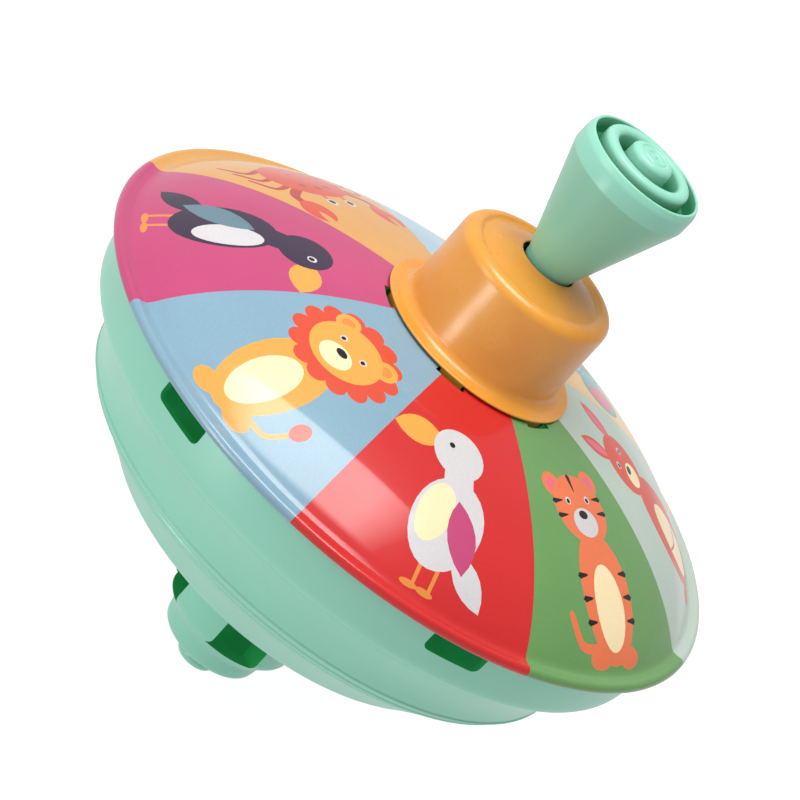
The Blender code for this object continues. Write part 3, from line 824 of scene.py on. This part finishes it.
def add_picture(flat, inks, rings, sector):
    """One printed sector: triangles that follow its picture's outlines, each in its uppermost ink."""
    ground, picture = PICTURES[sector]
    art = picture()
    middle = SECTOR_START + (sector + 0.5) * SECTOR_ANGLE
    crease = TIN_PATH.crease
    turns = [a - middle for a in sample_azimuths(sector)]
    points = [(s * sin(a), crease - s * cos(a)) for s in rings for a in turns]
    row = SECTOR_STEPS + 1
    last = len(points) - row
    edges = [(base + i, base + i + 1) for base in (0, last) for i in range(SECTOR_STEPS)]
    for side in (0, row - 1):
        edges += [(i * row + side, (i + 1) * row + side) for i in range(len(rings) - 1)]
    art = [(ink, held_in_sector(outline, rings)) for ink, outline in art]
    for _, outline in art:
        first = len(points)
        points += outline
        edges += [(first + i, first + (i + 1) % len(outline)) for i in range(len(outline))]
    made = delaunay_2d_cdt([Vector(p) for p in points], edges, [], 0, 1e-4, False)
    places = np.array([tuple(v) for v in made[0]])
    faces = np.array([f for f in made[2] if len(f) == 3])
    centres = places[faces].mean(axis=1)
    names = list(INKS)
    colour = np.full(len(faces), names.index(ground))
    for ink, outline in art:
        colour[inside(outline, centres)] = names.index(ink)
    reach = np.hypot(centres[:, 0], crease - centres[:, 1])
    turn = np.arctan2(centres[:, 0], crease - centres[:, 1])
    edge = cos(SECTOR_ANGLE / SECTOR_STEPS / 2)
    keep = (reach > rings[0] * edge) & (reach < rings[-1]) & (np.abs(turn) < SECTOR_ANGLE / 2 - 1e-4)
    s = np.hypot(places[:, 0], crease - places[:, 1])
    azimuth = np.arctan2(places[:, 0], crease - places[:, 1]) + middle
    verts = [flat.verts.new((a * cos(t), a * sin(t), 0)) for a, t in zip(s, azimuth)]
    for face, ink in zip(faces[keep], colour[keep]):
        flat.faces.new([verts[i] for i in face])[inks] = int(ink)


def flat_print():
    """The whole tin as a flat disc: crown rings, printed sectors and the bead's rings."""
    flat = bmesh.new()
    inks = flat.faces.layers.int.new("ink")
    s_at = TIN_PATH.s_at_radius
    crown = [s_at(r) for r in CROWN_RADII]
    brim = TIN_PATH.crease - 0.5
    bead_side = TIN_PATH.bead_start + BEAD_RADIUS * radians(130)
    printed = stops(s_at(PRINT_START_RADIUS), brim, 1.7)[:-1] + stops(brim, bead_side, 0.3)
    bead = stops(bead_side, TIN_PATH.s[-1], 0.3)
    for sector in range(SECTORS):
        add_rings(flat, inks, crown, sector)
        add_picture(flat, inks, printed, sector)
        add_rings(flat, inks, bead, sector)
    bmesh.ops.remove_doubles(flat, verts=flat.verts, dist=2e-3)
    bmesh.ops.delete(flat, geom=[v for v in flat.verts if not v.link_faces], context="VERTS")
    flat.verts.index_update()
    disc = np.array([v.co[:2] for v in flat.verts])
    faces = [[v.index for v in f.verts] for f in flat.faces]
    colour = [f[inks] for f in flat.faces]
    flat.free()
    return disc, faces, colour


def tin_dome():
    """The printed sheet wrapped onto the dome, with a bare back a tin's thickness inside it."""
    disc, faces, colour = flat_print()
    s = np.hypot(disc[:, 0], disc[:, 1])
    turn = np.arctan2(disc[:, 1], disc[:, 0])
    r, z, out, up = TIN_PATH.at(s)
    normal = np.stack([out * np.cos(turn), out * np.sin(turn), up], 1)
    outer = np.stack([r * np.cos(turn), r * np.sin(turn), z], 1)
    corners = np.array(faces)
    across, along = disc[corners[:, 1]] - disc[corners[:, 0]], disc[corners[:, 2]] - disc[corners[:, 0]]
    area = across[:, 0] * along[:, 1] - across[:, 1] * along[:, 0]
    faces = [face if size > 0 else face[::-1] for face, size in zip(faces, area)]
    sides = {(f[i], f[(i + 1) % 3]) for f in faces for i in range(3)}
    count = len(outer)
    open_sides = [(a, b) for a, b in sides if (b, a) not in sides]
    back = [[v + count for v in face[::-1]] for face in faces]
    walls = [(b, a, a + count, b + count) for a, b in open_sides]
    mesh = bpy.data.meshes.new("tin_print")
    places = np.concatenate([outer, outer - normal * TIN]) * MM
    mesh.from_pydata(places.tolist(), [], faces + back + walls)
    mesh.materials.append(MATERIALS["printed_tin"])
    mesh.materials.append(BARE_TIN)
    front = len(faces)
    mesh.polygons.foreach_set("material_index", [0] * front + [1] * (front + len(walls)))
    palette = list(INKS.values())
    tints = np.array([palette[i] for i in colour])
    ink = mesh.color_attributes.new("ink", "FLOAT_COLOR", "CORNER")
    spread = np.full((len(mesh.loops), 4), 0.5)
    spread[: 3 * front] = np.repeat(tints, 3, axis=0)
    ink.data.foreach_set("color", spread.ravel())
    mesh.shade_smooth()
    normals = np.concatenate([normal[np.array(faces).ravel()], -normal[np.array(faces)[:, ::-1].ravel()]])
    flat_walls = [n for p in list(mesh.polygons)[2 * front:] for n in [tuple(p.normal)] * 4]
    mesh.normals_split_custom_set(normals.tolist() + flat_walls)
    return add_piece("dome_print", mesh, "top", "printed_tin", "tin_dome")


# ------------------------------------------------------------ tin collar


def tab(angle):
    """One collar tab: out of the flange's edge, down through its slot and folded in below."""
    edge, high, low = COLLAR_FLANGE_RADIUS, TAB_HIGH_Z, TAB_LOW_Z
    thick = TIN - 0.06
    face = edge - 1.1
    outer = rounded([(edge - 1.4, high), (face, high, 0.3), (face, low, 0.6), (TAB_FOLD_RADIUS, low),
                     (TAB_FOLD_RADIUS, low + thick), (face - thick, low + thick, 0.1),
                     (face - thick, high - thick, 0.1), (edge - 1.4, high - thick)])
    bm = bmesh.new()
    base = bm.faces.new([bm.verts.new((r, -TAB_WIDTH / 2, z)) for r, z in outer])
    grown = bmesh.ops.extrude_face_region(bm, geom=[base])
    moved = [v for v in grown["geom"] if isinstance(v, bmesh.types.BMVert)]
    bmesh.ops.translate(bm, vec=(0, TAB_WIDTH, 0), verts=moved)
    return turned_about_axis(bm, angle)


def tin_collar():
    """Drawn cap with a flange, a rounded root and shoulder, and a top that rises to the knob's hole."""
    wall, low, top = 17.3, 90.1, 109.6
    edge, hole = COLLAR_FLANGE_RADIUS, 5.9
    outer = [(edge, low, 0.2), (edge, low + TIN, 0.24), (wall, low + TIN, 2.0), (wall, top, 2.4)]
    outer += [(14.5, top - 0.05, 0.5), (13.7, top - 0.6, 0.7), (12.6, top - 0.2, 1.4)]
    outer += [(hole, COLLAR_HOLE_Z, 0.24)]
    inner = [(hole, COLLAR_HOLE_Z - TIN, 0.24), (12.6, top - 0.7), (13.6, top - 1.1)]
    inner += [(14.4, top - 0.55), (wall - TIN, top - TIN, 1.9), (wall - TIN, low, 2.5)]
    mesh = to_mesh("collar", lathe(rounded(outer + inner)), MATERIALS["ochre_tin"])
    tabs = [tab(angle) for angle in polar_angles(SLOT_COUNT, SLOT_START)]
    mesh = carve(mesh, tabs, "UNION", "MANIFOLD")
    return add_piece("collar_cap", mesh, "top", "ochre_tin", "tin_collar")


# ------------------------------------------------------------ body shell


def shell_side():
    """Outer side of the body: band, hollow, two beads, ledge, cone, and underside."""
    band = [(66.2, 69.2), (65.95, 65.2), (65.65, 61.6), (65.4, 59.6), (65.0, 58.4), (64.2, 57.5)]
    hollow = [(62.9, 56.5), (60.7, 54.1), (58.5, 51.2), (57.0, 48.3), (56.35, 46.3), (56.05, 45.2)]
    first = [(56.2, 44.95), (56.15, 44.65), (55.85, 44.4), (55.5, 44.0)]
    edge = flowing([(55.5, 44.0), (55.1, 43.6), (54.8, 43.35)], 3)
    second = [(54.85, 43.1), (54.7, 42.85), (54.35, 42.75), (53.6, 42.2), (52.7, 41.6)]
    ledge = [(52.55, 41.45), (52.5, 41.25), (52.3, 41.05), (51.9, 40.9)]
    cone_foot = (36.4, 29.0)
    cone = [(51.7, 40.6), (48.9, 38.3), (46.0, 35.9), (43.6, 33.8), (42.2, 32.5), (40.4, 31.2), cone_foot]
    under = [cone_foot, (33.4, 27.7), (28.6, 26.0), (24.0, 24.5), (19.6, 23.3), (16.6, 22.8), (14.6, 22.8)]
    low_side = flowing(cone, 5) + flowing(under, 4)[1:]
    return flowing(band + hollow, 5) + first + edge[1:] + second + ledge + low_side


def vent_tool(angle):
    """Cutter for one vent, a rounded rectangle. Its own faces take the painted shade and glow of the
    inside, so the cut edges look deep.
    """
    half = VENT_WIDTH / 2
    corners = [(-half, VENT_LOW_Z), (half, VENT_LOW_Z), (half, VENT_HIGH_Z), (-half, VENT_HIGH_Z)]
    face = rounded([(a, b, VENT_CORNER) for a, b in corners], radians(18))
    bm = prism(face, 60.0, 70.0, "X")
    # painted shade: the vent's walls take the dark inside material
    for side in bm.faces:
        side.material_index = 1
    return turned_about_axis(bm, angle)


def body_shell():
    side = shell_side()
    floor = (side[-1][0], side[-1][1] + WALL)
    back = inward(side[2:-1], WALL)[::-1]
    flange = [(64.6, 70.1), (67.0, 70.1), (67.3, 69.8), (67.2, 69.4)]
    outline = side + [floor] + back + flange
    # the inner side of the wall takes the painted shade and glow of the inside
    inner = range(len(side), len(side) + len(back) + 1)
    mesh = to_mesh("shell", lathe(outline, inside=inner), MATERIALS["mint_plastic"], SHELL_INSIDE_PAINTED_SHADE)
    mesh = carve(mesh, [vent_tool(angle) for angle in polar_angles(VENT_COUNT, VENT_START)])
    return add_piece("body_bowl", mesh, "top", "mint_plastic", "body_shell")


# ------------------------------------------------------------------ foot


def window_tool(azimuth):
    """Cutter for one window of the drum: two parallel sides that lean round from its azimuth."""
    way = Vector((cos(azimuth + WINDOW_SKEW), sin(azimuth + WINDOW_SKEW)))
    sides = [azimuth - WINDOW_ANGLE / 2, azimuth + WINDOW_ANGLE / 2]
    first, last = (DRUM_RADIUS * Vector((cos(a), sin(a))) for a in sides)
    out, back = 3.0 * way, 8.0 * way
    bm = prism([first + out, last + out, last - back, first - back], WINDOW_LOW_Z, WINDOW_HIGH_Z)
    # painted shade: the window's walls take the dark inside material
    for side in bm.faces:
        side.material_index = 1
    return bm


def foot_cage():
    """Windowed drum with a stepped bowl underneath and a hub inside."""
    outer = [(17.4, 26.0, 0.3), (17.4, 24.7), (DRUM_RADIUS, 24.7), (DRUM_RADIUS, 12.0, 2.4)]
    outer += [(11.1, 8.6, 1.2), (10.9, 7.4, 1.2), (10.4, 4.9, 2.2), (5.6, 2.3, 0.4), (2.5, 2.3, 0.2)]
    bore = [(2.5, 14.8), (0.0, 14.8), (0.0, 17.9), (2.9, 17.9), (2.9, 15.5), (3.9, 15.5, 0.3)]
    inner = [(3.9, 8.0, 0.6), (10.0, 8.0, 1.2), (10.0, 20.4), (13.0, 20.4), (13.0, 26.0)]
    outline = rounded(outer + bore + inner)
    # from the bore on, the inside takes the painted shade and glow of the inside
    first = next(i for i, p in enumerate(outline) if p[0] < 4.0 and p[1] > 14.9)
    bm = lathe(outline, 96, range(first, len(outline) - 1))
    mesh = to_mesh("cage", bm, MATERIALS["mint_plastic"], CAGE_INSIDE_PAINTED_SHADE)
    mesh = carve(mesh, [window_tool(angle) for angle in polar_angles(WINDOW_COUNT, WINDOW_START)])
    return add_piece("cage_drum", mesh, "top", "mint_plastic", "foot_cage")


def foot_pad():
    outline = [(1.1, 0.6), (1.1, PAD_HIGH_Z), (2.1, PAD_HIGH_Z, 0.2), (2.1, 2.0, 0.3), (4.2, 2.0, 0.3)]
    outline += [(PAD_RADIUS, 1.2, 0.5), (3.9, 0.0, 0.5), (0.0, 0.0), (0.0, 0.6)]
    mesh = to_mesh("pad", lathe(rounded(outline), 72), MATERIALS["mint_plastic"])
    return add_piece("pad_disc", mesh, "foot", "mint_plastic", "foot_pad")


# ------------------------------------------------------------------ knob


def knob_outline():
    """Hollow-necked cone with a rim band, two ring grooves, and a centre boss with its gate marks."""
    top, band, crest, ring_z = KNOB_TOP_Z, KNOB_BAND_Z, KNOB_TOP_Z - 2.5, KNOB_TOP_Z - 1.3
    deep = top - 6.4
    outline = [(4.3, KNOB_LOW_Z), (4.9, KNOB_LOW_Z, 0.2), (4.9, 109.4, 0.5), (5.25, 110.4, 0.5)]
    outline += [(5.3, 111.4, 1.0), (13.05, band - 0.9)]
    outline += [(KNOB_RADIUS, band - 0.1, 0.3), (KNOB_RADIUS, 137.4, 2.2)]
    outline += [(12.75, crest, 0.35), (12.2, crest, 0.3), (11.9, deep, 0.5), (10.1, deep, 0.5)]
    outline += [(9.9, ring_z, 1.25), (7.3, ring_z, 1.15), (7.0, deep + 0.6, 0.5), (4.9, deep + 0.6, 0.5)]
    outline += [(4.6, top, 1.3), (3.1, top), (2.9, top - 0.16), (2.6, top - 0.16), (2.4, top)]
    outline += [(1.5, top), (1.3, top - 0.14), (0.6, top - 0.14), (0.5, top), (0.0, top)]
    return rounded(outline + [(0.0, 126.6), (4.3, 126.6)])


def knob():
    """The knob, whose play in the collar's hole lets it lean a little to one side."""
    bm = lathe(knob_outline(), 128)
    for face in bm.faces:
        place = face.calc_center_median()
        # the cone below the band takes its darker mint of painted shade
        if place.z < KNOB_BAND_Z - 0.5:
            face.material_index = 2
        # faces down in the ring grooves take the grooves' painted shade
        elif place.xy.length < 12.1 and place.z < KNOB_TOP_Z - 1.6:
            face.material_index = 1
    lean = Matrix.Rotation(KNOB_LEAN, 3, "Y")
    bmesh.ops.rotate(bm, cent=(0, 0, KNOB_LEAN_Z), matrix=lean, verts=bm.verts)
    bmesh.ops.translate(bm, vec=(0, KNOB_SET_BACK, 0), verts=bm.verts)
    mesh = to_mesh("knob_mesh", bm, MATERIALS["mint_plastic"], GROOVE_PAINTED_SHADE, CONE_PAINTED_SHADE)
    return add_piece("knob_cone", mesh, "plunger", "mint_plastic", "knob")


# ----------------------------------------------------------------- studio


def carried_over_nodes():
    """The inner parts keep their CAD shape and take the finish of their material slot."""
    slots = {part["node"]: part["material_slot"] for part in frame["record"]["subparts"]}
    for name, obj in frame["nodes"].items():
        obj.data.materials.clear()
        obj.data.materials.append(MATERIALS[slots[name]])


def floor():
    """A round pale sheet with a soft rolled edge."""
    bm = lathe(rounded([(0.0, -1.0), (FLOOR_RADIUS, -1.0, 1.0), (FLOOR_RADIUS, -4.0), (0.0, -4.0)]), 96)
    bmesh.ops.translate(bm, vec=(0, 0, 0.98), verts=bm.verts)
    mesh = to_mesh("floor", bm, floor_paint())
    obj = bpy.data.objects.new("studio_floor", mesh)
    bpy.context.scene.collection.objects.link(obj)


def camera():
    """Long lens from the front and a little above, rolled so that the top seems to lean."""
    yaw, pitch, roll = CAMERA_TURNS
    ahead = Vector((sin(yaw) * cos(pitch), cos(yaw) * cos(pitch), -sin(pitch)))
    level = ahead.cross(Vector((0, 0, 1))).normalized()
    upright = level.cross(ahead)
    right = level * cos(roll) + upright * sin(roll)
    up = upright * cos(roll) - level * sin(roll)
    data = bpy.data.cameras.new("camera")
    data.sensor_width = 36.0
    data.lens = CAMERA_LENS
    data.clip_start = 0.05
    obj = bpy.data.objects.new("camera", data)
    obj.matrix_world = Matrix((right, up, -ahead)).transposed().to_4x4()
    obj.location = CAMERA_PLACE
    bpy.context.scene.collection.objects.link(obj)
    bpy.context.scene.camera = obj


def softbox(name, place, target, wide, high, glow, soft=(0.1, 0.1, 0.1, 0.1), shiny_only=False):
    """A rectangular area light aimed at a target point, in metres; glow is how bright its face is.

    soft gives the part of the face that fades out at the left, right, bottom and top. A shiny_only
    box shows in reflections alone.
    """
    ahead = (Vector(target) - Vector(place)).normalized()
    side = Vector((1, 0, 0)) if abs(ahead.z) > 0.9 else ahead.cross(Vector((0, 0, 1))).normalized()
    up = side.cross(ahead)
    data = bpy.data.lights.new(name, "AREA")
    data.shape = "RECTANGLE"
    data.size = wide
    data.size_y = high
    data.energy = glow * pi * wide * high
    data.use_nodes = True
    tree = data.node_tree
    face = put(tree, "ShaderNodeNewGeometry").outputs["Parametric"]
    parts = put(tree, "ShaderNodeSeparateXYZ", {"Vector": face}).outputs
    ends = []
    for part, low, high_end in (("X", soft[0], soft[1]), ("Y", soft[2], soft[3])):
        rise = remap(tree, parts[part], 0.0, low)
        fall = remap(tree, parts[part], 1.0, 1.0 - high_end)
        ends.append(put(tree, "ShaderNodeMath", {0: rise, 1: fall}, operation="MULTIPLY").outputs[0])
    fade = put(tree, "ShaderNodeMath", {0: ends[0], 1: ends[1]}, operation="MULTIPLY").outputs[0]
    tree.links.new(fade, tree.nodes["Emission"].inputs["Strength"])
    obj = bpy.data.objects.new(name, data)
    obj.matrix_world = Matrix((side, up, -ahead)).transposed().to_4x4()
    obj.location = place
    obj.visible_diffuse = not shiny_only
    bpy.context.scene.collection.objects.link(obj)


def studio():
    """World light that meets the floor without a hard horizon, a big box above and two at the left."""
    world = bpy.data.worlds.new("studio")
    world.use_nodes = True
    tree = world.node_tree
    way = put(tree, "ShaderNodeTexCoord").outputs["Generated"]
    across = put(tree, "ShaderNodeSeparateXYZ", {"Vector": way}).outputs["X"]
    glow = remap(tree, across, -0.8, 0.8, 0.68, 0.28)
    horizon = remap(tree, across, -0.8, 0.8, 0.72, 0.42)
    height = put(tree, "ShaderNodeSeparateXYZ", {"Vector": way}).outputs["Z"]
    level = remap(tree, height, 0.0, 0.45)
    soft_edge = put(tree, "ShaderNodeMix", {0: level, 2: horizon, 3: glow}).outputs[0]
    tree.links.new(soft_edge, tree.nodes["Background"].inputs["Strength"])
    tree.nodes["Background"].inputs["Color"].default_value = (1.0, 1.0, 1.0, 1.0)
    bpy.context.scene.world = world
    top_soft = (0.22, 0.2, 0.15, 0.03)
    low_soft = (0.4, 0.4, 0.1, 0.1)
    softbox("top_box", (-0.17, -0.14, 1.1), (-0.17, -0.14, 0.08), 0.86, 0.58, 9.0, top_soft)
    softbox("left_box", (-0.85, -0.75, 0.35), (0, 0, 0.06), 0.55, 0.7, 2.7)
    softbox("low_box", (-0.085, -0.147, 0.045), (0, 0, 0.10), 0.06, 0.08, 8.0, low_soft, True)
    bpy.context.scene.view_settings.view_transform = "Standard"


def main():
    camera()
    floor()
    studio()
    carried_over_nodes()
    tin_dome()
    tin_collar()
    body_shell()
    foot_cage()
    foot_pad()
    knob()


main()
